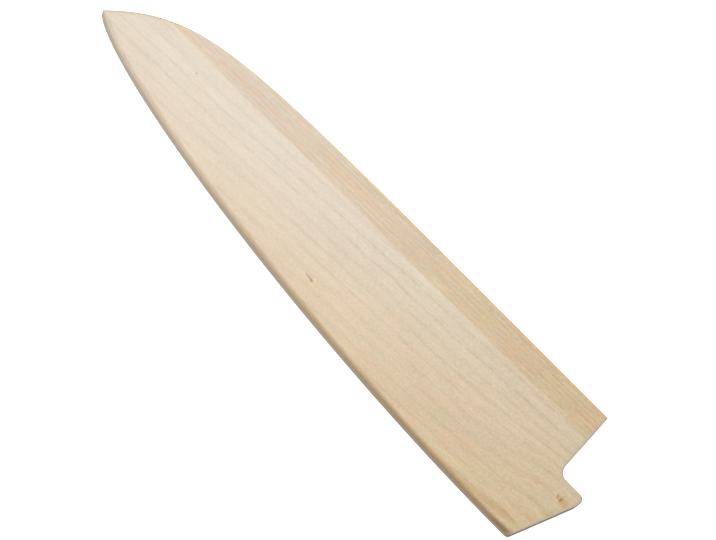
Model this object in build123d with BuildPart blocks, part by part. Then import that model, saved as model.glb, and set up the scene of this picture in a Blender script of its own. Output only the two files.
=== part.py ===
"""Maple blade guard for a 255 mm forged chef's knife, lying on its back face.

A closed wooden sheath, glued up from two cheeks and two core strips. The strips are as thick
as the blade slot, so the slot is closed at the tip, spine and edge, and open at the mouth.
Disc magnets let into the inside of both cheeks hold the blade.

Millimetres. +X runs from the tip to the mouth, +Y towards the blade's spine and +Z out of the
front face. The origin is the centre of the guard's footprint, on its back face.
"""
from build123d import *
import os
from math import cos, radians, sin, tan

# Overall sizes, over the finished wood
length = 278.0
height = 63.0
cheek_thickness = 4.3
slot_width = 4.4

# Nose: the small round at the tip, and how steeply the two sides leave it
nose_radius = 1.0
nose_rise = 3.0
nose_spine_angle = 45.0
nose_belly_angle = 39.5

# Shoulder and belly: the shoulder curve ends this far from the tip and the belly curve this far
# short of the heel corner, and each is pulled along its nose line and its straight by its pulls
shoulder_length = 178.0
shoulder_nose_pull = 40.0
shoulder_spine_pull = 128.0
heel_flat_length = 2.6
belly_nose_pull = 25.0
belly_heel_pull = 109.0

# Mouth: the raked end face that meets the bolster, and the heel extension below it
extension_length = 15.0
notch_floor_rise = 1.0
mouth_rake = 2.9
heel_slant = 21.4
notch_radius = 4.0
extension_corner_radius = 2.8
heel_corner_radius = 2.2

# Surfaces of the cheeks: the flat bevel down the spine side, and the round-over of the rest
bevel_width = 12.45
bevel_drop = 2.5
round_over = 2.2
ridge_easing = 0.35
arris = 0.3

# Core strips around the slot, and the flare of the cheeks where the blade enters
wall = 5.5
lead_in = 0.6

# Disc magnets in blind pockets, and how far they lie below the wood
magnet_radius = 4.0
magnet_thickness = 2.0
magnet_clearance = 0.1
magnet_recess = 0.2
magnet_below_slot_top = 14.0
magnet_shares = {"tip": 0.25, "middle": 0.55, "heel": 0.85}

# Cutting tools run this far past the wood, or past a rounded corner by this share of its size,
# and a face counts as upright if no more than this share of its normal points up
overrun = 10.0
overrun_share = 0.5
upright = 0.1

tip_x = -length / 2
mouth_end_x = length / 2
spine_y = height / 2
belly_y = -height / 2
thickness = 2 * cheek_thickness + slot_width
middle_z = thickness / 2
ridge_y = spine_y - bevel_width
notch_floor_y = notch_floor_rise
magnet_y = spine_y - wall - magnet_below_slot_top
magnet_pocket_depth = magnet_recess + magnet_thickness + magnet_clearance
front_board_z = cheek_thickness + slot_width
blank_end_x = mouth_end_x + wall + overrun

nose_half_angle = radians((nose_spine_angle + nose_belly_angle) / 2)
nose_lean = (nose_spine_angle - nose_belly_angle) / 2
nose_reach = nose_radius * (1 / sin(nose_half_angle) - 1)
nose_point = (tip_x - nose_reach, nose_rise)

# Corners of the mouth, sharp: rounding the extension's corner brings its end to mouth_end_x
corner_lean = (1 + sin(radians(heel_slant))) / cos(radians(heel_slant))
notch_corner = (mouth_end_x - extension_length, notch_floor_y)
extension_corner = (mouth_end_x + extension_corner_radius * (corner_lean - 1), notch_floor_y)
heel_corner = (extension_corner[0] - (notch_floor_y - belly_y) * tan(radians(heel_slant)), belly_y)


def moved(point, angle, distance):
    """The point that lies the given distance from another, in the given direction."""
    return (point[0] + distance * cos(radians(angle)), point[1] + distance * sin(radians(angle)))


def profile(inset, end_x):
    """Nose, shoulder, spine and belly, drawn in from the board's edge and closed at end_x.

    Both curves leave the nose at its angles and run out level. Each pull is one handle's length,
    and the pulls at the nose shrink with the height that the inset leaves.
    """
    nose = moved(nose_point, nose_lean, inset / sin(nose_half_angle))
    shoulder_end = (tip_x + shoulder_length, spine_y - inset)
    belly_end = (heel_corner[0] - heel_flat_length, belly_y + inset)
    rise_share = (shoulder_end[1] - nose[1]) / (spine_y - nose_rise)
    fall_share = (nose[1] - belly_end[1]) / (nose_rise - belly_y)
    with BuildSketch() as face:
        with BuildLine():
            Bezier(nose, moved(nose, nose_spine_angle, shoulder_nose_pull * rise_share),
                   moved(shoulder_end, 180, shoulder_spine_pull), shoulder_end)
            Bezier(nose, moved(nose, -nose_belly_angle, belly_nose_pull * fall_share),
                   moved(belly_end, 180, belly_heel_pull), belly_end)
            Polyline(shoulder_end, (end_x, shoulder_end[1]), (end_x, belly_end[1]), belly_end)
        make_face()
    return face.sketch


# The board before its mouth is sawn, and the blade's space in it, which runs out at the mouth
board = profile(0, blank_end_x)
slot = profile(wall, blank_end_x)

# What is sawn off at the mouth: the raked end face, the notch under the bolster and the
# slanted end of the heel extension. The saw enters above the spine and leaves below the belly.
saw_end_x = blank_end_x + overrun
saw_top_y = spine_y + overrun
saw_bottom_y = belly_y - overrun
saw_in_x = notch_corner[0] - (saw_top_y - notch_floor_y) * tan(radians(mouth_rake))
saw_out_x = extension_corner[0] - (notch_floor_y - saw_bottom_y) * tan(radians(heel_slant))

with BuildSketch() as sawn:
    with BuildLine():
        Polyline((saw_in_x, saw_top_y), notch_corner, extension_corner, (saw_out_x, saw_bottom_y),
                 (saw_end_x, saw_bottom_y), (saw_end_x, saw_top_y), close=True)
    make_face()
    fillet(sawn.vertices().sort_by_distance(notch_corner)[0], notch_radius)
    fillet(sawn.vertices().sort_by_distance(extension_corner)[0], extension_corner_radius)

# The finished outline, with its nose and its heel corner rounded in plan
with BuildSketch() as outline:
    add(board)
    add(sawn.sketch, mode=Mode.SUBTRACT)
    fillet(outline.vertices().sort_by_distance(heel_corner)[0], heel_corner_radius)
    fillet(outline.vertices().sort_by_distance(nose_point)[0], nose_radius)

# What rounding those two corners takes off: a kite from the round's centre through its two ends
# and past the sharp corner, less the round itself
with BuildSketch() as rounded_off:
    for corner in (heel_corner, nose_point):
        arc = outline.edges().filter_by(GeomType.CIRCLE).sort_by_distance(corner)[0]
        kite = [arc.arc_center + (point - arc.arc_center) * (1 + overrun_share)
                for point in (arc @ 0, Vector(*corner), arc @ 1)]
        with BuildLine():
            Polyline(arc.arc_center, *kite, close=True)
        make_face()
        with Locations(arc.arc_center):
            Circle(arc.radius, mode=Mode.SUBTRACT)

# The part of the slot where the cheeks are flared: a narrow band along the sawn edges
with BuildSketch() as flare:
    offset(sawn.sketch, amount=lead_in)
    add(slot, mode=Mode.INTERSECT)

# The bevel, and the narrow facet of half its slope that sanding leaves along its ridge
bevel_plane = Plane(
    origin=(0, ridge_y, thickness), x_dir=(1, 0, 0), z_dir=(0, bevel_drop, bevel_width)
)
ridge_plane = Plane(
    origin=(0, ridge_y - ridge_easing, thickness), x_dir=(1, 0, 0),
    z_dir=(0, bevel_drop, 2 * bevel_width)
)
magnet_centres = {place: (tip_x + share * length, magnet_y) for place, share in magnet_shares.items()}

# One cheek: the board with its front edges rounded over, its spine planed to the bevel, its
# mouth sawn, the ridge and the sawn edges eased, and pockets bored in its inside for magnets
with BuildPart() as front_cheek:
    with BuildSketch(Plane.XY.offset(front_board_z)):
        add(board)
    extrude(amount=cheek_thickness)
    front_edges = front_cheek.faces().sort_by(Axis.Z)[-1].edges().sort_by(Axis.X)[:-1]
    fillet(front_edges, round_over)
    split(bisect_by=bevel_plane, keep=Keep.BOTTOM)
    split(bisect_by=ridge_plane, keep=Keep.BOTTOM)
    with BuildSketch(Plane.XY.offset(front_board_z)):
        add(sawn.sketch_local)
        add(rounded_off.sketch_local)
    extrude(amount=cheek_thickness, mode=Mode.SUBTRACT)
    sawn_faces = front_cheek.faces().filter_by(
        lambda face: face.center().X > saw_in_x and abs(face.normal_at().Z) < upright
        and face.normal_at().Y > upright - 1)
    front_arrises = sawn_faces.edges().filter_by(
        lambda edge: edge.center().Z > thickness - bevel_drop).filter_by(Axis.Z, reverse=True)
    fillet(front_arrises, arris)
    with BuildSketch(Plane.XY.offset(front_board_z)):
        add(flare.sketch_local)
    extrude(amount=lead_in, taper=45, mode=Mode.SUBTRACT)
    with Locations(*[Plane(origin=(x, y, front_board_z), z_dir=(0, 0, -1))
                     for x, y in magnet_centres.values()]):
        Hole(magnet_radius + magnet_clearance, magnet_pocket_depth)

# The other cheek is its mirror image, so that the guard suits either hand
with BuildPart() as back_cheek:
    mirror(front_cheek.part, about=Plane.XY.offset(middle_z))

# The core is the outline less the slot, in two strips that meet in line with the nose
strip_joint = Plane(origin=(0, nose_rise, 0), x_dir=(1, 0, 0), z_dir=(0, 1, 0))
strips = {}
for name, keep in (("spine_strip", Keep.TOP), ("edge_strip", Keep.BOTTOM)):
    with BuildPart() as strip:
        with BuildSketch(Plane.XY.offset(cheek_thickness)):
            add(outline.sketch_local)
            add(slot, mode=Mode.SUBTRACT)
        extrude(amount=slot_width)
        split(bisect_by=strip_joint, keep=keep)
    strips[name] = strip.part

# Disc magnets, a little below the wood so that they don't touch the blade
magnets = {}
for side, floor_z in (("front", front_board_z + magnet_recess),
                      ("back", cheek_thickness - magnet_recess - magnet_thickness)):
    for place, (x, y) in magnet_centres.items():
        with BuildPart() as magnet:
            with BuildSketch(Plane(origin=(x, y, floor_z))):
                Circle(magnet_radius)
            extrude(amount=magnet_thickness)
        magnets[f"{side}_magnet_{place}"] = magnet.part

os.makedirs("parts", exist_ok=True)
for name, piece in {"front_cheek": front_cheek.part, "back_cheek": back_cheek.part,
                    **strips, **magnets}.items():
    piece.label = name
    export_step(piece, f"parts/{name}.step")
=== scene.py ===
from math import cos, radians, sin, tan

import bmesh
import bpy
import numpy as np
from mathutils import Matrix, Vector


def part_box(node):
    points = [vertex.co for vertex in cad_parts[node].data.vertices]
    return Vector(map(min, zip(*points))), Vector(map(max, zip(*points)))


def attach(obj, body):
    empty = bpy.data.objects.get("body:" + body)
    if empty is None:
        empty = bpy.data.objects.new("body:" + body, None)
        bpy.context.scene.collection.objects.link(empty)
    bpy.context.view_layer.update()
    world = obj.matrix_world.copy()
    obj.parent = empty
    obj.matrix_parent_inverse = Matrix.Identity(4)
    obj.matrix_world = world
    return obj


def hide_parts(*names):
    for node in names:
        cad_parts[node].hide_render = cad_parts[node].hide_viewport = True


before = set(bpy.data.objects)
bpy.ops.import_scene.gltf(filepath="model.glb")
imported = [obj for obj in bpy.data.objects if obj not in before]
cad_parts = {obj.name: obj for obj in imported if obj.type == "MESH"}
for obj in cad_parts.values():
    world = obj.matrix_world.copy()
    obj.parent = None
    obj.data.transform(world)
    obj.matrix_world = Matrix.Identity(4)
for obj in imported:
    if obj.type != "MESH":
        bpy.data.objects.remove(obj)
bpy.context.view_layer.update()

# The camera looks down on the guard's front face with a long lens, from a little to the belly
# and mouth side. It is turned so that the guard runs corner to corner, tip at the upper left.
mm = 0.001
frame_width = 716
mm_per_pixel = 0.4043
camera_distance = 2500.0
lean_to_mouth, lean_to_belly = 1.7, 8.4
sensor_width = 36.0
aim_point = Vector((8.53, 1.52, 13.0))

towards_camera = Vector((tan(radians(lean_to_mouth)), -tan(radians(lean_to_belly)), 1)).normalized()
along_guard = (Vector((1, 0, 0)) - towards_camera * towards_camera.x).normalized()
across_guard = towards_camera.cross(along_guard)
image_right = (along_guard + across_guard).normalized()
image_up = (across_guard - along_guard).normalized()
camera = bpy.data.objects.new("camera", bpy.data.cameras.new("camera"))
camera.data.sensor_width = sensor_width
camera.data.lens = camera_distance / mm_per_pixel * sensor_width / frame_width
camera.data.clip_end = 20.0
camera.matrix_world = (
    Matrix.Translation((aim_point + towards_camera * camera_distance) * mm)
    @ Matrix((image_right, image_up, towards_camera)).transposed().to_4x4()
)
bpy.context.scene.collection.objects.link(camera)
bpy.context.scene.camera = camera


# The studio is a glowing white acrylic table, which shows no shadow, a soft box over the tip,
# whose reflection gives the wood its sheen, a wide key light from the spine side and a weaker
# fill light that reaches the belly side near the tip.
def node(tree, kind, inputs=None, **settings):
    """Adds a node with its settings. An input is a value, a socket or a node's first output."""
    made = tree.nodes.new(kind)
    for name, value in settings.items():
        setattr(made, name, value)
    for key, value in (inputs or {}).items():
        if isinstance(value, bpy.types.Node):
            value = value.outputs[0]
        if isinstance(value, bpy.types.NodeSocket):
            tree.links.new(value, made.inputs[key])
        else:
            made.inputs[key].default_value = value
    return made


def linear(colour):
    """An sRGB hex colour as linear red, green, blue and alpha."""
    shares = [int(colour[i:i + 2], 16) / 255 for i in (1, 3, 5)]
    return (*[s / 12.92 if s <= 0.04045 else ((s + 0.055) / 1.055) ** 2.4 for s in shares], 1)


def surface(name):
    """A new material, its node tree and its Principled shader."""
    made = bpy.data.materials.new(name)
    made.use_nodes = True
    return made, made.node_tree, made.node_tree.nodes["Principled BSDF"]


table_reach = 3.0
corners = [(-1, -1), (1, -1), (1, 1), (-1, 1)]
table_mesh = bpy.data.meshes.new("table_top")
table_mesh.from_pydata(
    [(x * table_reach, y * table_reach, 0) for x, y in corners], [], [(0, 1, 2, 3)])
table_top = bpy.data.objects.new("table_top", table_mesh)
bpy.context.scene.collection.objects.link(table_top)
acrylic, tree, shader = surface("white_acrylic")
shader.inputs["Base Color"].default_value = linear("#f0f0f0")
shader.inputs["Roughness"].default_value = 0.9
shader.inputs["Specular IOR Level"].default_value = 0.0
shader.inputs["Emission Color"].default_value = linear("#ffffff")
shader.inputs["Emission Strength"].default_value = 0.95
table_mesh.materials.append(acrylic)
table_top.visible_diffuse = False
table_top.visible_glossy = False

room_glow, floor_glow, horizon_softness = 0.44, 0.55, 0.15
studio = bpy.data.worlds.new("studio")
studio.use_nodes = True
tree = studio.node_tree
direction = node(tree, "ShaderNodeTexCoord").outputs["Generated"]
upward = node(tree, "ShaderNodeSeparateXYZ", {0: direction}).outputs["Z"]
glow = node(tree, "ShaderNodeMapRange", {
    "Value": upward, "From Min": -horizon_softness, "From Max": horizon_softness,
    "To Min": floor_glow, "To Max": room_glow})
tree.links.new(glow.outputs[0], tree.nodes["Background"].inputs["Strength"])
tree.nodes["Background"].inputs["Color"].default_value = linear("#ffffff")
bpy.context.scene.world = studio
bpy.context.scene.view_settings.view_transform = "Standard"

soft_boxes = {
    "sheen_box": {"place": (-100, 70, 713), "aim": (-60, 0, 13), "size": (420, 220), "watts": 1.9},
    "key_box": {"place": (-300, 850, 720), "aim": (0, 0, 0), "size": (1400, 600), "watts": 7.9},
    "fill_box": {"place": (-700, -800, 350), "aim": (0, 0, 0), "size": (900, 500), "watts": 5.2},
}
for name, box in soft_boxes.items():
    light = bpy.data.lights.new(name, "AREA")
    light.shape = "RECTANGLE"
    light.size, light.size_y = (side * mm for side in box["size"])
    light.energy = box["watts"]
    lamp = bpy.data.objects.new(name, light)
    lamp.location = Vector(box["place"]) * mm
    throw = Vector(box["aim"]) - Vector(box["place"])
    lamp.rotation_euler = throw.to_track_quat("-Z", "Y").to_euler()
    bpy.context.scene.collection.objects.link(lamp)


# The two cheeks are boards of hard maple, glued one to each side of the core. Each is planed to
# a flat bevel down the spine side, rounded over elsewhere and sawn to the stepped mouth, and has
# three blind pockets for magnets bored in its inside. The ridge and the sawn edges are sanded.
cheek_low, cheek_high = (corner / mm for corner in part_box("front_cheek"))
belly_y, spine_y = cheek_low.y, cheek_high.y
inside_z, face_z = cheek_low.z, cheek_high.z
tip_x, mouth_x = -139.0, 139.0
nose_radius, nose_rise = 1.0, 3.0
nose_spine_angle, nose_belly_angle = 45.0, 39.5
shoulder_length, shoulder_nose_pull, shoulder_spine_pull = 178.0, 40.0, 128.0
heel_flat_length, belly_nose_pull, belly_heel_pull = 2.6, 25.0, 109.0
extension_length, floor_y, mouth_rake, heel_slant = 15.0, 1.0, 2.9, 21.4
notch_radius, extension_corner_radius, heel_corner_radius = 4.0, 2.8, 2.2
bevel_width, bevel_drop, ridge_easing = 12.45, 2.5, 0.4
round_over, arris, crease_softness = 2.2, 0.4, 0.2
core_wall, lead_in = 5.5, 0.6
edge_shade_width, edge_shade_fade, edge_shade_nose_length = 0.35, 0.85, 22.0
pocket_radius, pocket_depth, pocket_below_slot_top = 4.1, 2.3, 14.0
pocket_shares = (0.25, 0.55, 0.85)
ridge_y = spine_y - bevel_width
pocket_y = spine_y - core_wall - pocket_below_slot_top

rake, slant = tan(radians(mouth_rake)), tan(radians(heel_slant))
corner_lean = (1 + sin(radians(heel_slant))) / cos(radians(heel_slant))
slant_x = mouth_x + extension_corner_radius * (corner_lean - 1)
heel_x = slant_x - (floor_y - belly_y) * slant
heel_centre_x = heel_x - heel_corner_radius / corner_lean
nose_half_angle = radians((nose_spine_angle + nose_belly_angle) / 2)
nose_lean = (nose_spine_angle - nose_belly_angle) / 2
nose_point = np.array([tip_x - nose_radius * (1 / sin(nose_half_angle) - 1), nose_rise])
curve_samples, cut_samples, floor_samples = 3000, 1500, 200


def towards(angle):
    """The unit vector in the plan at that many degrees from +X."""
    return np.array([cos(radians(angle)), sin(radians(angle))])


def side(inset, end, angle, nose_pull, straight_pull):
    """One side of the plan, drawn in by the inset, as dense samples with X rising.

    The cubic (1-t)^3 N + 3(1-t)^2 t A + 3(1-t) t^2 B + t^3 E from the nose N to the start E of
    the straight, with A along the nose line and B back along the straight.
    """
    nose = nose_point + towards(nose_lean) * inset / sin(nose_half_angle)
    end = np.array(end) - [0, np.sign(end[1]) * inset]
    share = (end[1] - nose[1]) / (end[1] + np.sign(end[1]) * inset - nose_rise)
    t = np.linspace(0, 1, curve_samples)[:, None]
    a = nose + towards(angle) * nose_pull * share
    b = end - [straight_pull, 0]
    curve = (1 - t) ** 3 * nose + 3 * (1 - t) ** 2 * t * a + 3 * (1 - t) * t ** 2 * b + t ** 3 * end
    return np.vstack([curve, [mouth_x * 2, end[1]]])


def sides(inset):
    """The belly side and the spine side of the plan, drawn in by the inset."""
    belly = side(inset, (heel_x - heel_flat_length, belly_y), -nose_belly_angle,
                 belly_nose_pull, belly_heel_pull)
    spine = side(inset, (tip_x + shoulder_length, spine_y), nose_spine_angle,
                 shoulder_nose_pull, shoulder_spine_pull)
    return belly, spine


def y_at(line, x):
    """The line's Y at X, between its samples."""
    return np.interp(x, line[:, 0], line[:, 1])


def depth(line, x, y):
    """How far points lie from a line, square to it: the gap in Y times the slope's cosine."""
    slope = np.gradient(line[:, 1], line[:, 0])
    return np.abs(y - y_at(line, x)) / np.hypot(1, np.interp(x, line[:, 0], slope))


board_belly, board_spine = sides(0)
nose_centre = nose_point + towards(nose_lean) * nose_radius / sin(nose_half_angle)
apex_x = nose_centre[0] - nose_radius


def arc_reach(radius, off):
    """How far a circle reaches where it is that far off its centre: the root of r^2 - off^2."""
    return np.sqrt(np.clip(radius ** 2 - off ** 2, 0, None))


def rounded_side(line, way, angle, x):
    """A side of the finished plan at X: the nose's arc up to its end, then the board's side."""
    arc = nose_centre[1] + way * arc_reach(nose_radius, x - nose_centre[0])
    arc_end = nose_centre[0] - nose_radius * sin(radians(angle))
    return np.where(x < arc_end, arc, y_at(line, x))


def mouth_above(y):
    """X of the mouth above the notch floor: the arc of the notch, then the raked end face."""
    centre_y = floor_y + notch_radius
    arc_end = centre_y - notch_radius * sin(radians(mouth_rake))
    on_rake = mouth_x - extension_length - (y - floor_y) * rake
    centre_x = (mouth_x - extension_length - (arc_end - floor_y) * rake
                + notch_radius * cos(radians(mouth_rake)))
    arc = centre_x - arc_reach(notch_radius, y - centre_y)
    return np.where(y < arc_end, arc, on_rake)


def mouth_below(y):
    """X of the mouth below the notch floor: corner arc, slanted end face and the heel's arc."""
    lean = radians(heel_slant)
    corner_y, heel_y = floor_y - extension_corner_radius, belly_y + heel_corner_radius
    corner_x = mouth_x - extension_corner_radius
    corner = corner_x + arc_reach(extension_corner_radius, y - corner_y)
    heel = heel_centre_x + arc_reach(heel_corner_radius, y - heel_y)
    on_slant = slant_x - (floor_y - y) * slant
    on_slant = np.where(y > corner_y - extension_corner_radius * sin(lean), corner, on_slant)
    return np.where(y < heel_y - heel_corner_radius * sin(lean), heel, on_slant)


free_share = 1 / 6


def between(low, high, near_low, near_high, count):
    """Places from low to high: at set distances from both ends, and evenly spread between.

    Where the gap is too narrow for the distances, they shrink with it and leave a sixth of it
    free. The places run along a new first axis, and low and high may be arrays.
    """
    low, high = np.broadcast_arrays(np.asarray(low, float), np.asarray(high, float))
    shape = (-1,) + (1,) * low.ndim
    needed = (near_low[-1] + near_high[-1]) / (1 - free_share)
    share = np.minimum(1, (high - low) / needed)
    starts = low + share * np.reshape(near_low, shape)
    ends = high - share * np.reshape(near_high[::-1], shape)
    fill = np.reshape(np.linspace(0, 1, count + 2)[1:-1], shape)
    return np.concatenate([starts, starts[-1] + (ends[0] - starts[-1]) * fill, ends])


# The rows of the grid lie close together where the surface bends: at these distances in from
# the board's edges, from a sawn edge and from the ridge, with a few more spread between
arc_steps = np.radians(np.arange(0, 91, 9))
past_round = 2.6
edge_rows = np.concatenate([
    round_over * (1 - np.cos(arc_steps)), [past_round, core_wall, core_wall + lead_in]])
sawn_rows = np.array([0, 0.03, 0.08, 0.16, 0.26, 0.4, 0.6, 2.0])
ridge_rows = np.array([0, 0.1, 0.2, 0.3, 0.4, 0.5, 1.2])
lower_fill, middle_fill, upper_fill = 9, 7, 5
seam_settles = 0.25


def rows_at(x):
    """Y of the grid's rows at X, from the belly over the seam row and the ridge to the spine.

    The seam row starts at the nose and has settled at the notch floor's height after a quarter
    of the way to the mouth.
    """
    belly = rounded_side(board_belly, -1, nose_belly_angle, x)
    spine = rounded_side(board_spine, 1, nose_spine_angle, x)
    along = np.clip((x - tip_x) / (mouth_x - extension_length - tip_x), 0, 1)
    seam = nose_centre[1] + (floor_y - nose_centre[1]) * np.minimum(1, along / seam_settles)
    ridge = np.maximum(np.minimum(ridge_y, spine - past_round), (seam + spine) / 2)
    lower = between(belly, seam, edge_rows, sawn_rows, lower_fill)
    middle = between(seam, ridge, sawn_rows, ridge_rows, middle_fill)
    upper = between(ridge, spine, ridge_rows, edge_rows, upper_fill)
    return np.concatenate([lower, middle[1:], upper[1:]])


seam_row = len(edge_rows) + len(sawn_rows) + lower_fill - 1
row_count = len(rows_at(np.array(0.0)))
each_row = np.arange(row_count)
body_end_x = 108.0
column_count, mouth_fill, end_fill = 250, 12, 8
row_lag, settling_rounds = 0.1, 4


def plan_grid():
    """X and Y of the cheek's grid, rows by columns, and which of its points are in the wood.

    Columns are square to the guard from the apex to body_end_x, closer towards the nose. From
    there each row is divided up to the mouth above the notch floor, and the rows below the
    floor go on, divided again, to the extension's end. The lower the row, the further its first
    run stops short of the mouth. A row's Y and where it ends depend on each other, so they are
    worked out in a few rounds.
    """
    body = apex_x + (body_end_x - apex_x) * np.linspace(0, 1, column_count)[:-1] ** 2
    end_y = rows_at(np.full(row_count, body_end_x))[each_row, each_row]
    for _ in range(settling_rounds):
        short = (floor_y - end_y) * (slant + row_lag)
        first_x = np.where(each_row >= seam_row, mouth_above(end_y), mouth_above(floor_y) - short)
        last_x = mouth_below(np.minimum(end_y, floor_y))
        end_y = rows_at(np.where(each_row > seam_row, first_x, last_x))[each_row, each_row]
    to_mouth = between(body_end_x, first_x, [0.0], sawn_rows, mouth_fill)
    to_end = between(first_x, last_x, [0.0], sawn_rows, end_fill)
    x = np.vstack([np.repeat(body[:, None], row_count, axis=1), to_mouth, to_end[1:]]).T
    y = rows_at(x)[each_row, each_row]
    in_wood = np.ones(x.shape, bool)
    in_wood[seam_row + 1:, len(body) + len(to_mouth):] = False
    return x, y, in_wood, len(body) + len(to_mouth)


def mouth_depth(x, y):
    """How far a point lies in from the sawn mouth.

    Square to the cut at its nearest sample, and straight to the sample past the cut's two ends.
    """
    below = np.linspace(belly_y, floor_y, cut_samples)
    above = np.linspace(floor_y, spine_y, cut_samples)
    floor_x = np.linspace(mouth_below(floor_y), mouth_above(floor_y), floor_samples)
    cut = np.vstack([
        np.column_stack([mouth_below(below), below]),
        np.column_stack([floor_x, np.full_like(floor_x, floor_y)])[1:-1],
        np.column_stack([mouth_above(above), above])])
    normal = np.gradient(cut, axis=0)[:, ::-1] * [-1, 1]
    normal /= np.linalg.norm(normal, axis=1)[:, None]
    points = np.column_stack([x, y])
    nearest = np.linalg.norm(points[:, None] - cut[None], axis=2).argmin(1)
    apart = points - cut[nearest]
    at_end = (nearest == 0) | (nearest == len(cut) - 1)
    return np.where(at_end, np.linalg.norm(apart, axis=1), np.abs((apart * normal[nearest]).sum(1)))


def quarter_round(distance, radius):
    """The drop of a round at a distance in from the edge: the radius less its reach there."""
    short = radius - np.clip(distance, 0, radius)
    return radius - arc_reach(radius, short)


def face_height(x, y, sawn):
    """Z of the cheek's outside: the lower of the round-over and the planes with their arrises.

    The bevel's drop starts as a parabola across the sanded ridge. The two surfaces meet in a
    crease, which is filled by k^2/4 at most where they differ by less than the softness k.
    """
    from_side = np.minimum(depth(board_belly, x, y), depth(board_spine, x, y))
    past_ridge = y - ridge_y
    eased = (past_ridge + ridge_easing) ** 2 / (4 * ridge_easing)
    fall = np.where(np.abs(past_ridge) < ridge_easing, eased, np.maximum(past_ridge, 0))
    planes = face_z - fall * bevel_drop / bevel_width
    rounded = face_z - quarter_round(from_side, round_over)
    sanded = planes - quarter_round(np.minimum(sawn, depth(board_spine, x, y)), arris)
    apart = np.clip(1 - np.abs(rounded - sanded) / crease_softness, 0, 1)
    fading = np.clip((face_z - np.maximum(rounded, sanded)) / crease_softness, 0, 1)
    return np.minimum(rounded, sanded) - apart ** 2 * fading * crease_softness / 4


weld_distance, sharp_angle = 0.0005, 35


def piece_from(name, vertices, faces, node_name, material):
    """A finished piece from vertices in millimetres: doubles merged, shaded smooth, riding."""
    made = bpy.data.meshes.new(name)
    made.from_pydata(np.asarray(vertices) * mm, [], [tuple(face) for face in faces])
    shape = bmesh.new()
    shape.from_mesh(made)
    bmesh.ops.remove_doubles(shape, verts=shape.verts, dist=weld_distance * mm)
    open_edges = [edge for edge in shape.edges if edge.is_boundary]
    if open_edges:
        bmesh.ops.triangle_fill(shape, edges=open_edges, use_beauty=True)
    bmesh.ops.dissolve_degenerate(shape, edges=shape.edges, dist=weld_distance * mm)
    bmesh.ops.recalc_face_normals(shape, faces=shape.faces)
    shape.to_mesh(made)
    shape.free()
    made.polygons.foreach_set("use_smooth", np.ones(len(made.polygons), bool))
    made.set_sharp_from_angle(angle=radians(sharp_angle))
    made.materials.append(material)
    piece = bpy.data.objects.new(name, made)
    bpy.context.scene.collection.objects.link(piece)
    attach(piece, "root")
    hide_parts(node_name)
    return piece


def rim_faces(upper, lower):
    """Quads between two closed rings of vertex numbers."""
    return np.column_stack([upper, lower, np.roll(lower, -1), np.roll(upper, -1)])


pocket_sides = 64


def cheek(flip):
    """Vertices and faces of a cheek: its outside, walls, flared mouth, and pockets inside.

    The glue face is left open here, for piece_from to fill around the pockets. For the back
    cheek the whole is turned over about the middle of the guard's thickness.
    """
    x, y, in_wood, mouth_column = plan_grid()
    sawn = np.full(x.shape, mouth_x)
    near = in_wood & (x > body_end_x)
    sawn[near] = mouth_depth(x[near], y[near])
    z = face_height(x, y, sawn)
    number = np.arange(x.size).reshape(x.shape)
    quads = np.stack([number[:-1, :-1], number[:-1, 1:], number[1:, 1:], number[1:, :-1]], axis=-1)
    whole = in_wood[:-1, 1:] & in_wood[1:, 1:]
    faces = [quads[whole]]
    vertices = [np.column_stack([x.ravel(), y.ravel(), z.ravel()])]
    loop = np.concatenate([
        number[0], number[1:seam_row + 1, -1], number[seam_row, mouth_column - 1:-1][::-1],
        number[seam_row + 1:, mouth_column - 1], number[-1, :mouth_column - 1][::-1]])
    around = np.column_stack([x.ravel()[loop], y.ravel()[loop]])
    way = np.roll(around, -1, axis=0) - np.roll(around, 1, axis=0)
    inward = way[:, ::-1] * [-1, 1] / np.maximum(np.linalg.norm(way, axis=1), 1e-9)[:, None]
    in_slot = np.clip((spine_y - core_wall - np.abs(around[:, 1])) / lead_in, 0, 1)
    flare = lead_in * in_slot * (around[:, 0] > body_end_x)
    total = x.size
    rings = [loop]
    for ring_z, inset in ((inside_z + flare, 0 * flare), (inside_z + 0 * flare, flare)):
        vertices.append(np.column_stack([around + inward * inset[:, None], ring_z]))
        rings.append(total + np.arange(len(loop)))
        faces.append(rim_faces(rings[-2], rings[-1]))
        total += len(loop)
    turn = np.linspace(0, 2 * np.pi, pocket_sides, endpoint=False)
    circle = pocket_radius * np.column_stack([np.cos(turn), np.sin(turn)])
    for share in pocket_shares:
        centre = [tip_x + share * (mouth_x - tip_x), pocket_y]
        mouth = np.column_stack([centre + circle, np.full(pocket_sides, inside_z)])
        bottom = mouth + [0, 0, pocket_depth]
        vertices += [mouth, bottom, [[*centre, inside_z + pocket_depth]]]
        low = total + np.arange(pocket_sides)
        high = low + pocket_sides
        hub = np.full(pocket_sides, total + 2 * pocket_sides)
        faces += [rim_faces(low, high), np.column_stack([high, np.roll(high, -1), hub])]
        total += 2 * pocket_sides + 1
    vertices = np.vstack(vertices)
    if flip:
        vertices[:, 2] = face_z - vertices[:, 2]
    return vertices, [face for block in faces for face in block.tolist()]


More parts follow.
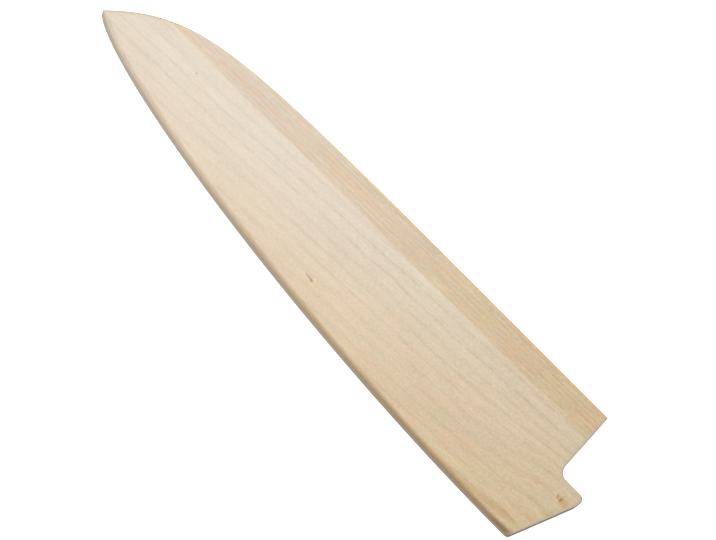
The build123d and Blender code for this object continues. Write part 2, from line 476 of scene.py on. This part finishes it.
# Sizes are in millimetres, and a grain is how fast a pattern changes in each of them along,
# across and through the board. The growth lines, the fibres and the glue lines are drawn about
# three times as wide as the real ones, which are too fine to show. A line's reach and its
# shade's are shares of the way from one line to the next.
heel_from_x, heel_to_x, belly_from_v, belly_to_v, ridge_blend = -60.0, 130.0, 4.0, -40.0, 0.5
line_spacing, ring_spacing, first_line = 5.06, 0.62, 1.78
line_reach, line_reach_heel, line_reach_steep = 0.14, 0.05, 0.1
shade_reach, shade_amount = 0.4, 0.22
contrast_tip, contrast_heel, contrast_past_ridge = 0.26, 0.4, -0.04
wander_grain, wander_rings, unsteady_grain, unsteady_rings = 0.03, 0.5, 0.3, 0.16
faintest_line, break_length, break_change, break_depth = 0.45, 5, 3.7, 0.95
drift_slope, drift_length = 0.05, 40.0
knot_place, knot_length, knot_width, knot_rise = (127, -3, 0), 26, 12, 5.3
fibre_length, fibre_width = 10.0, 0.9
fleck_grain, cloud_grain, warm_grain = (0.7, 1.4, 1.4), (0.018, 0.11, 0.11), (0.045, 0.18, 0.18)
fibre_lift, fleck_lift, cloud_lift = 0.045, 0.045, 0.03
steep_gain, heel_gain = 0.9, 0.9
warm_all, warm_heel, warm_past_ridge, warm_bevel_shade = 0.11, 0.45, 0.08, 0.4
bevel_tint_and_shade_tip, bevel_tint_and_shade_heel, belly_amount, end_tone_and_shade_amount = 0.15, 0.4, 0.75, 0.8
wall_tint_and_shade_tip, wall_tint_and_shade_heel, edge_shade_amount, mark_raggedness = 0.2, 0.7, 0.75, 0.7
glue_width, glue_fade, glue_amount = 0.06, 0.2, 0.55
rough_wood, rough_fibre, rough_end, pore_depth, pore_strength = 0.42, 0.34, 0.2, 0.1, 0.12
maple_tip, maple_heel, maple_belly = "#cabdac", "#c5b396", "#c4aa84"
growth_brown, bevel_tan_and_shade, side_brown_and_shade = "#a98f6d", "#bf9f72", "#a28357"
peach, straw = "#d1a57b", "#c6b585"
end_brown_and_shade, end_ring, edge_shade_grey, glue_amber = "#8a7250", "#4a3820", "#aaa294", "#8a6a3c"


def maple(name, shift, shade=1.0, marks=()):
    """Hard maple, flat sawn, sanded fine and lightly oiled: a pale even wood with a satin sheen.

    Its thin brown growth lines are where the flat face cuts the tilted rings, 5 mm apart there
    and far closer on the bevel and the sides. v is Y less the lines' own rise: a slow drift,
    5 in 100 past the tip, and a bump of 5 mm over the knot at the mouth. The shift gives each
    board its own piece of the tree. The boards' end grain drinks the oil and is browner, and is
    darkened further by painted shade. A painted shade line runs along the edges of the mouth and
    the nose. A mark is its X and Y, length and width, the degrees that it is turned, its colour
    and its strength.
    """
    made, tree, shader = surface(name)
    here = node(tree, "ShaderNodeTexCoord")
    place = node(tree, "ShaderNodeVectorMath", {0: here.outputs["Object"], 3: 1 / mm},
                 operation="SCALE")
    x, y, z = node(tree, "ShaderNodeSeparateXYZ", {0: place}).outputs
    past_tip = node(tree, "ShaderNodeMath", {0: x, 1: -tip_x}, operation="ADD")
    fade = node(tree, "ShaderNodeMath", {0: past_tip, 1: -drift_length}, operation="DIVIDE")
    fade = node(tree, "ShaderNodeMath", {0: fade}, operation="EXPONENT")
    drift = node(tree, "ShaderNodeMath", {0: past_tip, 1: drift_slope, 2: fade},
                 operation="MULTIPLY_ADD")
    from_knot = node(tree, "ShaderNodeVectorMath", {0: place, 1: knot_place}, operation="SUBTRACT")
    from_knot = node(tree, "ShaderNodeVectorMath", {
        0: from_knot, 1: (1 / knot_length, 1 / knot_width, 0)}, operation="MULTIPLY")
    nearness = node(tree, "ShaderNodeVectorMath", {0: from_knot, 1: from_knot},
                    operation="DOT_PRODUCT").outputs["Value"]
    nearness = node(tree, "ShaderNodeMath", {0: nearness, 1: -1.0}, operation="MULTIPLY")
    nearness = node(tree, "ShaderNodeMath", {0: nearness}, operation="EXPONENT")
    rise = node(tree, "ShaderNodeMath", {0: nearness, 1: knot_rise, 2: drift},
                operation="MULTIPLY_ADD")
    v = node(tree, "ShaderNodeMath", {0: y, 1: rise}, operation="SUBTRACT")

    # Where on the guard a point is: past the ridge, towards the heel or the belly, on a side
    # wall or on end grain
    past_ridge = node(tree, "ShaderNodeMapRange", {
        "Value": y, "From Min": ridge_y - ridge_blend, "From Max": ridge_y + ridge_blend})
    heelward = node(tree, "ShaderNodeMapRange", {
        "Value": x, "From Min": heel_from_x, "From Max": heel_to_x})
    bellyward = node(tree, "ShaderNodeMapRange", {
        "Value": v, "From Min": belly_from_v, "From Max": belly_to_v})
    turned = node(tree, "ShaderNodeVectorMath", {0: here.outputs["Normal"]}, operation="ABSOLUTE")
    endwise, sideways, flat = node(tree, "ShaderNodeSeparateXYZ", {0: turned}).outputs
    endwise = node(tree, "ShaderNodeMapRange", {
        "Value": endwise, "From Min": 0.55, "From Max": 0.85})
    sideways = node(tree, "ShaderNodeMapRange", {
        "Value": sideways, "From Min": 0.25, "From Max": 0.8})
    upright = node(tree, "ShaderNodeMapRange", {"Value": flat, "From Min": 0.5, "From Max": 0.2})

    # The rings are counted across the guard. A line is drawn where the count is whole, wider
    # where the rings are cut steeply and towards the heel, bolder or fainter ring by ring, a
    # little unsteady, and broken along its length every 5 mm or so.
    wander = node(tree, "ShaderNodeTexNoise", {
        "Vector": place, "Scale": wander_grain, "Detail": 2.0})
    wander = node(tree, "ShaderNodeMath", {0: wander, 1: -0.5}, operation="ADD")
    unsteady = node(tree, "ShaderNodeTexNoise", {
        "Vector": place, "Scale": unsteady_grain, "Detail": 2.0})
    sunk = node(tree, "ShaderNodeMath", {0: face_z, 1: z}, operation="SUBTRACT")
    ring = node(tree, "ShaderNodeMath", {0: v, 1: 1 / line_spacing, 2: shift + first_line},
                operation="MULTIPLY_ADD")
    for more, share in ((wander, wander_rings), (unsteady, unsteady_rings),
                        (sunk, 1 / ring_spacing)):
        ring = node(tree, "ShaderNodeMath", {0: more, 1: share, 2: ring}, operation="MULTIPLY_ADD")
    to_line = node(tree, "ShaderNodeMath", {0: ring, 1: 0.5}, operation="PINGPONG")
    steep = node(tree, "ShaderNodeMath", {0: past_ridge, 1: upright}, operation="MAXIMUM")
    reach = node(tree, "ShaderNodeMath", {0: heelward, 1: line_reach_heel, 2: line_reach},
                 operation="MULTIPLY_ADD")
    reach = node(tree, "ShaderNodeMath", {0: steep, 1: line_reach_steep, 2: reach},
                 operation="MULTIPLY_ADD")
    line = node(tree, "ShaderNodeMapRange", {
        "Value": to_line, "From Min": 0.0, "From Max": reach, "To Min": 1.0, "To Max": 0.0},
        interpolation_type="SMOOTHSTEP")
    shade_off = node(tree, "ShaderNodeMapRange", {
        "Value": to_line, "From Min": 0.0, "From Max": shade_reach, "To Min": shade_amount,
        "To Max": 0.0}, interpolation_type="SMOOTHSTEP")
    line_number = node(tree, "ShaderNodeMath", {0: ring, 1: 0.5}, operation="ADD")
    line_number = node(tree, "ShaderNodeMath", {0: line_number}, operation="FLOOR")
    boldness = node(tree, "ShaderNodeTexWhiteNoise", {"W": line_number}, noise_dimensions="1D")
    boldness = node(tree, "ShaderNodeMapRange", {"Value": boldness, "To Min": faintest_line})
    along = node(tree, "ShaderNodeCombineXYZ", {0: x, 1: line_number, 2: shift})
    broken = node(tree, "ShaderNodeVectorMath", {
        0: along, 1: (1 / break_length, break_change, 1)}, operation="MULTIPLY")
    broken = node(tree, "ShaderNodeTexNoise", {
        "Vector": broken, "Scale": 1.0, "Detail": 3.0, "Roughness": 0.6})
    broken = node(tree, "ShaderNodeMapRange", {
        "Value": broken, "From Min": 0.36, "From Max": 0.62, "To Min": 1 - break_depth})
    line = node(tree, "ShaderNodeMath", {0: line, 1: boldness}, operation="MULTIPLY")
    line = node(tree, "ShaderNodeMath", {0: line, 1: broken}, operation="MULTIPLY")
    line = node(tree, "ShaderNodeMath", {0: line, 1: shade_off}, operation="ADD")
    contrast = node(tree, "ShaderNodeMapRange", {
        "Value": heelward, "To Min": contrast_tip, "To Max": contrast_heel})
    contrast = node(tree, "ShaderNodeMath", {0: past_ridge, 1: contrast_past_ridge, 2: contrast},
                    operation="MULTIPLY_ADD")
    line = node(tree, "ShaderNodeMath", {0: line, 1: contrast}, operation="MULTIPLY")
    ringed = node(tree, "ShaderNodeMath", {0: line, 1: endwise}, operation="MULTIPLY")

    # Fibres run with the grain, and flecks and clouds are what the eye takes for maple's shimmer
    grain = node(tree, "ShaderNodeCombineXYZ", {0: x, 1: v, 2: z})
    fibres = node(tree, "ShaderNodeVectorMath", {
        0: grain, 1: (1 / fibre_length, 1 / fibre_width, 1 / fibre_width)}, operation="MULTIPLY")
    fibres = node(tree, "ShaderNodeTexNoise", {
        "Vector": fibres, "Scale": 1.0, "Detail": 4.0, "Roughness": 0.65})
    flecks = node(tree, "ShaderNodeVectorMath", {0: grain, 1: fleck_grain}, operation="MULTIPLY")
    flecks = node(tree, "ShaderNodeTexNoise", {"Vector": flecks, "Scale": 1.0, "Detail": 2.0})
    clouds = node(tree, "ShaderNodeVectorMath", {0: grain, 1: cloud_grain}, operation="MULTIPLY")
    clouds = node(tree, "ShaderNodeTexNoise", {"Vector": clouds, "Scale": 1.0, "Detail": 2.0})
    warmth = node(tree, "ShaderNodeVectorMath", {0: grain, 1: warm_grain}, operation="MULTIPLY")
    warmth = node(tree, "ShaderNodeTexNoise", {
        "Vector": warmth, "Scale": 1.0, "Detail": 3.0, "Roughness": 0.6})
    coarse = node(tree, "ShaderNodeMath", {0: heelward, 1: heel_gain, 2: 1.0},
                  operation="MULTIPLY_ADD")
    lift = node(tree, "ShaderNodeMapRange", {
        "Value": fibres, "From Min": 0.25, "From Max": 0.75,
        "To Min": -fibre_lift, "To Max": fibre_lift})
    speck = node(tree, "ShaderNodeMapRange", {
        "Value": flecks, "From Min": 0.3, "From Max": 0.7,
        "To Min": -fleck_lift, "To Max": fleck_lift})
    cloud = node(tree, "ShaderNodeMapRange", {
        "Value": clouds, "From Min": 0.3, "From Max": 0.7,
        "To Min": shade - cloud_lift, "To Max": shade + cloud_lift})
    streaky = node(tree, "ShaderNodeMath", {0: steep, 1: steep_gain, 2: 1.0},
                   operation="MULTIPLY_ADD")
    lift = node(tree, "ShaderNodeMath", {0: lift, 1: streaky, 2: speck}, operation="MULTIPLY_ADD")
    lift = node(tree, "ShaderNodeMath", {0: lift, 1: coarse, 2: cloud}, operation="MULTIPLY_ADD")

    # The tone goes from ash white at the tip to tan at the heel and browner to the belly. Each
    # mix is by how much and towards which colour.
    tone = linear(maple_tip)
    warm = node(tree, "ShaderNodeMath", {0: heelward, 1: bellyward}, operation="MULTIPLY")
    # The bevel is mixed darker and yellower, the more so towards the heel: partly its own cut
    # through the rings, partly painted shade for the sheen that the face catches and the bevel
    # misses.
    bevel_tint_and_shade = node(tree, "ShaderNodeMath", {0: heelward, 1: bevel_tint_and_shade_heel, 2: bevel_tint_and_shade_tip},
                        operation="MULTIPLY_ADD")
    bevel_tint_and_shade = node(tree, "ShaderNodeMath", {0: bevel_tint_and_shade, 1: past_ridge},
                        operation="MULTIPLY")
    warm = node(tree, "ShaderNodeMath", {0: warm, 1: warm_heel, 2: warm_all},
                operation="MULTIPLY_ADD")
    for more, share in ((past_ridge, warm_past_ridge), (bevel_tint_and_shade, warm_bevel_shade)):
        warm = node(tree, "ShaderNodeMath", {0: more, 1: share, 2: warm}, operation="MULTIPLY_ADD")
    peachy = node(tree, "ShaderNodeMapRange", {
        "Value": warmth, "From Min": 0.5, "From Max": 0.68, "To Max": warm})
    strawy = node(tree, "ShaderNodeMapRange", {
        "Value": warmth, "From Min": 0.5, "From Max": 0.32, "To Max": warm})
    low = node(tree, "ShaderNodeMath", {0: bellyward, 1: belly_amount}, operation="MULTIPLY")
    # The side walls are mixed browner, the more so towards the heel: partly their side grain's
    # tone, partly painted shade for the light that the walls miss.
    wall_tone_and_shade = node(tree, "ShaderNodeMath", {0: heelward, 1: wall_tint_and_shade_heel, 2: wall_tint_and_shade_tip},
                  operation="MULTIPLY_ADD")
    wall_tone_and_shade = node(tree, "ShaderNodeMath", {0: wall_tone_and_shade, 1: sideways}, operation="MULTIPLY")
    # End grain is mixed browner: partly its own tone, soaked with oil, partly painted shade that
    # darkens the mouth's end faces and arrises.
    ends = node(tree, "ShaderNodeMath", {0: endwise, 1: end_tone_and_shade_amount}, operation="MULTIPLY")
    for amount, colour in ((heelward, maple_heel), (low, maple_belly), (bevel_tint_and_shade, bevel_tan_and_shade),
                           (peachy, peach), (strawy, straw), (wall_tone_and_shade, side_brown_and_shade),
                           (ends, end_brown_and_shade), (line, growth_brown), (ringed, end_ring)):
        tone = node(tree, "ShaderNodeMix", {"Factor": amount, "A": tone, "B": linear(colour)},
                    data_type="RGBA").outputs["Result"]
    tone = node(tree, "ShaderNodeVectorMath", {0: tone, 3: lift}, operation="SCALE")

    # Over the wood's own tone lie the marks, ragged as the flecks are, a painted shade line
    # along the edges of the mouth and the nose, and the two glue lines
    over = []
    ragged = node(tree, "ShaderNodeMath", {0: flecks, 1: -0.5}, operation="ADD")
    for mark_x, mark_y, length, width, turn, colour, strength in marks:
        off = node(tree, "ShaderNodeVectorMath", {0: place, 1: (mark_x, mark_y, 0)},
                   operation="SUBTRACT")
        off = node(tree, "ShaderNodeVectorRotate", {"Vector": off, "Angle": -radians(turn)},
                   rotation_type="Z_AXIS")
        off = node(tree, "ShaderNodeVectorMath", {0: off, 1: (1 / length, 1 / width, 0)},
                   operation="MULTIPLY")
        off = node(tree, "ShaderNodeVectorMath", {0: off}, operation="LENGTH").outputs["Value"]
        off = node(tree, "ShaderNodeMath", {0: ragged, 1: mark_raggedness, 2: off},
                   operation="MULTIPLY_ADD")
        amount = node(tree, "ShaderNodeMapRange", {
            "Value": off, "From Min": 0.2, "From Max": 1.0, "To Min": strength, "To Max": 0.0},
            interpolation_type="SMOOTHSTEP")
        over.append((amount, colour))
    edge_shaded = node(tree, "ShaderNodeAttribute", attribute_name="painted_edge_shade").outputs["Fac"]
    lying = node(tree, "ShaderNodeMapRange", {
        "Value": flat, "From Min": 0.1, "From Max": 0.4, "To Max": edge_shade_amount})
    edge_shaded = node(tree, "ShaderNodeMath", {0: edge_shaded, 1: lying}, operation="MULTIPLY")
    from_middle = node(tree, "ShaderNodeMath", {0: z, 1: face_z / 2}, operation="SUBTRACT")
    from_middle = node(tree, "ShaderNodeMath", {0: from_middle}, operation="ABSOLUTE")
    to_glue = node(tree, "ShaderNodeMath", {0: from_middle, 1: inside_z - face_z / 2},
                   operation="SUBTRACT")
    to_glue = node(tree, "ShaderNodeMath", {0: to_glue}, operation="ABSOLUTE")
    glued = node(tree, "ShaderNodeMapRange", {
        "Value": to_glue, "From Min": glue_width, "From Max": glue_fade, "To Min": glue_amount,
        "To Max": 0.0})
    glued = node(tree, "ShaderNodeMath", {0: glued, 1: upright}, operation="MULTIPLY")
    for amount, colour in (*over, (edge_shaded, edge_shade_grey), (glued, glue_amber)):
        tone = node(tree, "ShaderNodeMix", {"Factor": amount, "A": tone, "B": linear(colour)},
                    data_type="RGBA").outputs["Result"]
    tree.links.new(tone, shader.inputs["Base Color"])
    sheen = node(tree, "ShaderNodeMapRange", {
        "Value": fibres, "From Min": 0.25, "From Max": 0.75,
        "To Min": rough_wood, "To Max": rough_fibre})
    sheen = node(tree, "ShaderNodeMath", {0: endwise, 1: rough_end, 2: sheen},
                 operation="MULTIPLY_ADD")
    tree.links.new(sheen.outputs[0], shader.inputs["Roughness"])
    pores = node(tree, "ShaderNodeBump", {
        "Strength": pore_strength, "Distance": pore_depth * mm, "Height": fibres})
    tree.links.new(pores.outputs[0], shader.inputs["Normal"])
    return made


# The marks that the front board has: X, Y, length, width, turn, colour and strength
front_marks = [
    # The fleck in the middle of the face: its tail, its dark spot and the pale wood beside it
    (-3.6, -14.65, 2.6, 0.75, -5, "#8f7c58", 0.6),
    (-1.7, -15.0, 1.3, 0.85, -10, "#7d6c38", 0.75),
    (0.9, -15.1, 3.2, 0.9, 3, "#cfa676", 0.5),
    (-0.9, -13.9, 1.4, 0.9, -30, "#d8cd9c", 0.35),
    # A painted highlight along the start of the ridge, a peach patch past it, and a dot near the
    # tip
    (-102.0, 18.4, 30.0, 1.3, 0, "#d6c9a8", 0.28),
    (-110.5, 20.6, 7.0, 1.7, 6, "#d0a277", 0.3),
    (-94.1, 11.65, 0.7, 0.7, 0, "#8a7350", 0.5),
    # The knot's warm halo, and the stained and the greyer wood around it
    (134.1, -6.4, 3.4, 2.8, -40, "#b8904a", 0.55),
    (133.6, -6.9, 1.6, 0.8, 85, "#c2964f", 0.45),
    (132.4, -13.7, 4.2, 1.9, 45, "#b8904a", 0.4),
    (129.9, -20.4, 5.0, 1.8, 15, "#b8904a", 0.3),
    (136.4, -1.1, 1.4, 0.9, -60, "#cdb27c", 0.6),
    (129.2, -10.6, 5.0, 3.2, -20, "#bdb090", 0.4),
    # The knot: a warm core and the dark curls around it
    (131.1, -5.9, 1.3, 1.0, -50, "#c8985a", 0.7),
    (130.3, -6.2, 1.5, 0.85, -64, "#96743a", 0.8),
    (132.1, -6.4, 1.6, 0.95, 70, "#86662f", 0.8),
    (132.1, -4.8, 1.3, 0.6, 65, "#9a7a45", 0.5),
    # Brown streaks along the belly towards the heel, and the stained heel corner
    (119.3, -26.0, 9.0, 1.1, 1, "#9c8748", 0.5),
    (116.5, -27.4, 12.0, 1.8, 2, "#ad8744", 0.3),
    (104.0, -28.6, 22.0, 1.8, 1, "#ad8744", 0.35),
    (122.6, -30.9, 7.0, 1.7, 4, "#7d5f38", 0.5),
    (126.4, -30.2, 2.2, 1.6, 30, "#b07c4c", 0.5),
]
boards = {"front_cheek": (False, 0.0, front_marks), "back_cheek": (True, 7.3, ())}
for name, (flip, shift, marks) in boards.items():
    vertices, faces = cheek(flip)
    board = piece_from(name + "_board", vertices, faces, node_name=name,
                       material=maple("hard_maple_" + name, shift, marks=marks))

    # The painted edge shade lies along all of the mouth's edges, and the outline's at the nose,
    # fading along it
    points = np.empty(3 * len(board.data.vertices))
    board.data.vertices.foreach_get("co", points)
    x, y, _ = points.reshape(-1, 3).T / mm
    edge = np.minimum(depth(board_belly, x, y), depth(board_spine, x, y))
    edge += np.clip((x - tip_x) / edge_shade_nose_length, 0, 1) * edge_shade_fade
    edge[x > body_end_x] = mouth_depth(x[x > body_end_x], y[x > body_end_x])
    painted_edge_shade = board.data.attributes.new("painted_edge_shade", "FLOAT", "POINT")
    edge_shading = np.clip((edge_shade_fade - edge) / (edge_shade_fade - edge_shade_width), 0, 1)
    painted_edge_shade.data.foreach_set("value", edge_shading)

# The core is two strips of the same maple, as thick as the blade slot, which close it at the
# tip, the spine and the edge. They meet in line with the nose and are glued to both cheeks.
slot_belly, slot_spine = sides(core_wall)
core_low, core_high = (corner.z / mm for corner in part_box("spine_strip"))


def strip(outer, inner):
    """A strip: a rectangle from the outer to the inner line, carried along both of them."""
    low, high = np.full(len(outer), core_low), np.full(len(outer), core_high)
    corners = [np.column_stack([line, z]) for line, z in
               ((outer, low), (outer, high), (inner, high), (inner, low))]
    number = np.arange(4 * len(outer)).reshape(4, -1)
    walls = [np.column_stack([a[:-1], a[1:], b[1:], b[:-1]])
             for a, b in zip(number, np.roll(number, -1, axis=0))]
    faces = [face for wall in walls for face in wall.tolist()]
    return np.vstack(corners), faces + [number[:, 0].tolist(), number[:, -1].tolist()]


strip_samples, heel_samples = 320, 30
run = np.linspace(0, 1, strip_samples) ** 2
slot_top_y, slot_bottom_y = spine_y - core_wall, belly_y + core_wall
outer_x = apex_x + (mouth_above(spine_y) - apex_x) * run
inner_x = slot_spine[0, 0] + (mouth_above(slot_top_y) - slot_spine[0, 0]) * run
spine_lines = (
    np.column_stack([outer_x, rounded_side(board_spine, 1, nose_spine_angle, outer_x)]),
    np.column_stack([inner_x, y_at(slot_spine, inner_x)]))
outer_x = apex_x + (heel_centre_x - apex_x) * run
inner_x = slot_belly[0, 0] + (mouth_below(slot_bottom_y) - slot_belly[0, 0]) * run
heel_y = belly_y + core_wall * (1 - np.cos(np.linspace(0, np.pi / 2, heel_samples)))[1:]
heel_line = np.column_stack([mouth_below(heel_y), heel_y])
edge_outer = np.column_stack([outer_x, rounded_side(board_belly, -1, nose_belly_angle, outer_x)])
edge_inner = np.column_stack([inner_x, y_at(slot_belly, inner_x)])
slot_corner = [[mouth_below(slot_bottom_y), slot_bottom_y]]
edge_lines = (
    np.vstack([edge_outer, heel_line]),
    np.vstack([edge_inner, np.repeat(slot_corner, len(heel_line), axis=0)]))
core_shift, core_shade = 3.4, 0.965
core_maple = maple("hard_maple_core", core_shift, shade=core_shade)
for name, lines in (("spine_strip", spine_lines), ("edge_strip", edge_lines)):
    vertices, faces = strip(*lines)
    piece_from(name + "_board", vertices, faces, node_name=name,
               material=core_maple)

# Six disc magnets hold the blade, three glued into the pockets of each cheek and a little below
# the wood. They are sintered neodymium, and the nickel is plated on in a barrel after the edges
# have been tumbled round.
magnet_edge, magnet_sides = 0.15, 64


def disc(centre, radius, low, high):
    """Vertices and faces of a disc: its half section turned about its axis in equal steps.

    The section runs out along the bottom, round a quarter circle, up the side, round another
    and back in along the top.
    """
    bend = np.radians(np.arange(0, 91, 15))
    out_bend, up_bend = magnet_edge * np.sin(bend), magnet_edge * (1 - np.cos(bend))
    rim = radius - magnet_edge + out_bend
    section = np.vstack([
        [[0, low]], np.column_stack([rim, low + up_bend]),
        np.column_stack([rim, high - up_bend])[::-1], [[0, high]]])
    turn = np.linspace(0, 2 * np.pi, magnet_sides, endpoint=False)[:, None]
    out, z = section.T
    x, y = centre[0] + out * np.cos(turn), centre[1] + out * np.sin(turn)
    vertices = np.stack([x, y, np.broadcast_to(z, x.shape)], axis=-1)
    number = np.arange(x.size).reshape(x.shape)
    ahead = np.roll(number, -1, axis=0)
    faces = np.stack([number[:, :-1], ahead[:, :-1], ahead[:, 1:], number[:, 1:]], axis=-1)
    return vertices.reshape(-1, 3), faces.reshape(-1, 4).tolist()


# Bright nickel plate gives the eye a warm silver mirror, hazed in patches by the glue and finely
# dimpled by the barrel. The dimples are drawn at 0.3 mm, coarser than the real ones, to show.
haze_size, dimple_size, dimple_depth, dimple_strength = 2.0, 0.3, 0.004, 0.5
plate_silver, plate_hazed, plate_polish, plate_haze_roughness = "#d3cec4", "#bbb3a4", 0.12, 0.3
nickel, tree, shader = surface("bright_nickel_plate")
place = node(tree, "ShaderNodeTexCoord").outputs["Object"]
place = node(tree, "ShaderNodeVectorMath", {0: place, 3: 1 / mm}, operation="SCALE")
haze = node(tree, "ShaderNodeTexNoise", {"Vector": place, "Scale": 1 / haze_size, "Detail": 3.0})
haze = node(tree, "ShaderNodeMapRange", {"Value": haze, "From Min": 0.35, "From Max": 0.65})
tone = node(tree, "ShaderNodeMix", {
    "Factor": haze, "A": linear(plate_silver), "B": linear(plate_hazed)},
    data_type="RGBA").outputs["Result"]
tree.links.new(tone, shader.inputs["Base Color"])
shader.inputs["Metallic"].default_value = 1.0
rough = node(tree, "ShaderNodeMapRange", {
    "Value": haze, "To Min": plate_polish, "To Max": plate_haze_roughness})
tree.links.new(rough.outputs[0], shader.inputs["Roughness"])
dimples = node(tree, "ShaderNodeTexNoise", {
    "Vector": place, "Scale": 1 / dimple_size, "Detail": 1.0})
dimples = node(tree, "ShaderNodeBump", {
    "Strength": dimple_strength, "Distance": dimple_depth * mm, "Height": dimples})
tree.links.new(dimples.outputs[0], shader.inputs["Normal"])
for name in [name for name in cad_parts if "magnet" in name]:
    low, high = (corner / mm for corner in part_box(name))
    vertices, faces = disc((low + high) / 2, (high.x - low.x) / 2, low.z, high.z)
    piece_from(name + "_disc", vertices, faces, node_name=name,
               material=nickel)
